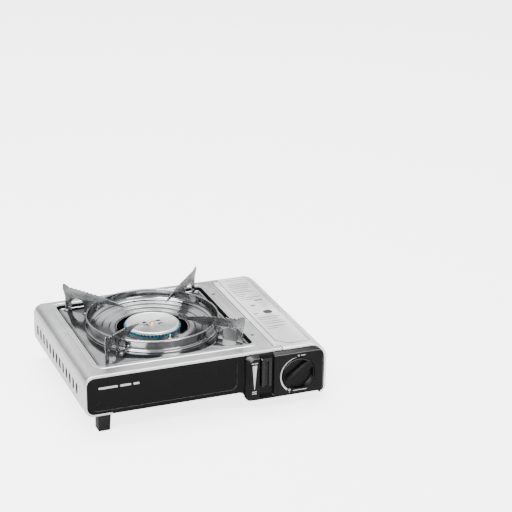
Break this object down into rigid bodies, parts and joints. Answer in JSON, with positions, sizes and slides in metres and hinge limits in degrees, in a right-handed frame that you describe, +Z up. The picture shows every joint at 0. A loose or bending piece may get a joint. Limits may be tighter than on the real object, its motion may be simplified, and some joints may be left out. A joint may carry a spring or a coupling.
{
  "type": "camping stove",
  "caption": "Portable gas stove with a lift-off pan support and drip tray, a hinged cartridge cover, a knob and a locking lever.",
  "frame": {"origin": "on the ground under the middle of the whole stove", "axes": "+X along the front from the burner side to the cartridge side, +Y from the front to the back, +Z up"},
  "size_m": [0.342, 0.264, 0.1187],
  "materials": {
    "satin_steel": "satin",
    "lid_steel": "satin",
    "black_panel": "semi-gloss",
    "black_plastic": "fine grained",
    "knob_plastic": "semi-gloss",
    "mirror_steel": "polished",
    "zinc_steel": "zinc plated",
    "cast_alloy": "cast",
    "port_ring": "heat-tinted blue-green",
    "cap_steel": "brushed",
    "brass": "turned",
    "copper": "drawn",
    "rubber": "matt",
    "ceramic": "glazed",
    "lead": "smooth"
  },
  "bodies": {
    "case": {"body_shell": "satin_steel", "front_panel": "black_panel", "back_panel": "black_panel", "bottom_plate": "black_panel", "partition_wall": "zinc_steel", "cartridge_tray": "zinc_steel", "control_housing": "black_plastic", "hinge_pins": "zinc_steel", "valve_bracket": "zinc_steel", "regulator_body": "cast_alloy", "diaphragm_cover": "zinc_steel", "port_seal": "rubber", "guide_rods": "zinc_steel", "gas_tube": "copper", "jet_nozzle": "brass", "nozzle_bracket": "zinc_steel", "mixing_tube": "cast_alloy", "burner_body": "cast_alloy", "burner_port_ring": "port_ring", "burner_cap": "cap_steel", "burner_cap_screw": "brass", "burner_bracket": "zinc_steel", "piezo_igniter": "black_plastic", "ignition_lead": "lead", "spark_electrode": "ceramic", "tall_foot_front": "rubber", "tall_foot_rear": "rubber", "short_foot_front": "rubber", "short_foot_rear": "rubber", "housing_screws": "zinc_steel", "chassis_screws": "zinc_steel", "deck_rivets": "zinc_steel"},
    "pan_support": {"drip_tray": "mirror_steel", "wind_ring": "mirror_steel", "pan_support_1": "mirror_steel", "pan_support_2": "mirror_steel", "pan_support_3": "mirror_steel", "pan_support_4": "mirror_steel", "support_rivets": "zinc_steel"},
    "lid": {"lid": "lid_steel"},
    "knob": {"control_knob": "knob_plastic", "valve_spindle": "zinc_steel"},
    "lever": {"lock_lever": "knob_plastic"},
    "yoke": {"cartridge_yoke": "zinc_steel"}
  },
  "joints": [
    {"name": "lid_hinge", "type": "hinge", "parent": "case", "child": "lid", "pos_m": [0.1, 0.0045, 0.079], "axis": [0, -1, 0], "range_deg": [0, 95]},
    {"name": "knob_turn", "type": "hinge", "parent": "case", "child": "knob", "pos_m": [0.1264, -0.131, 0.0444], "axis": [0, -1, 0], "range_deg": [0, 145]},
    {"name": "lever_slide", "type": "slide", "parent": "case", "child": "lever", "axis": [0, 0, -1], "range_m": [0, 0.014]},
    {"name": "yoke_slide", "type": "slide", "parent": "case", "child": "yoke", "axis": [0, -1, 0], "range_m": [0, 0.007]},
    {"name": "pan_support_lift", "type": "slide", "parent": "case", "child": "pan_support", "axis": [0, 0, 1], "range_m": [0, 0.1]}
  ],
  "couplings": [
    {"joint": "yoke_slide", "follows": "lever_slide", "ratio": 0.5}
  ]
}
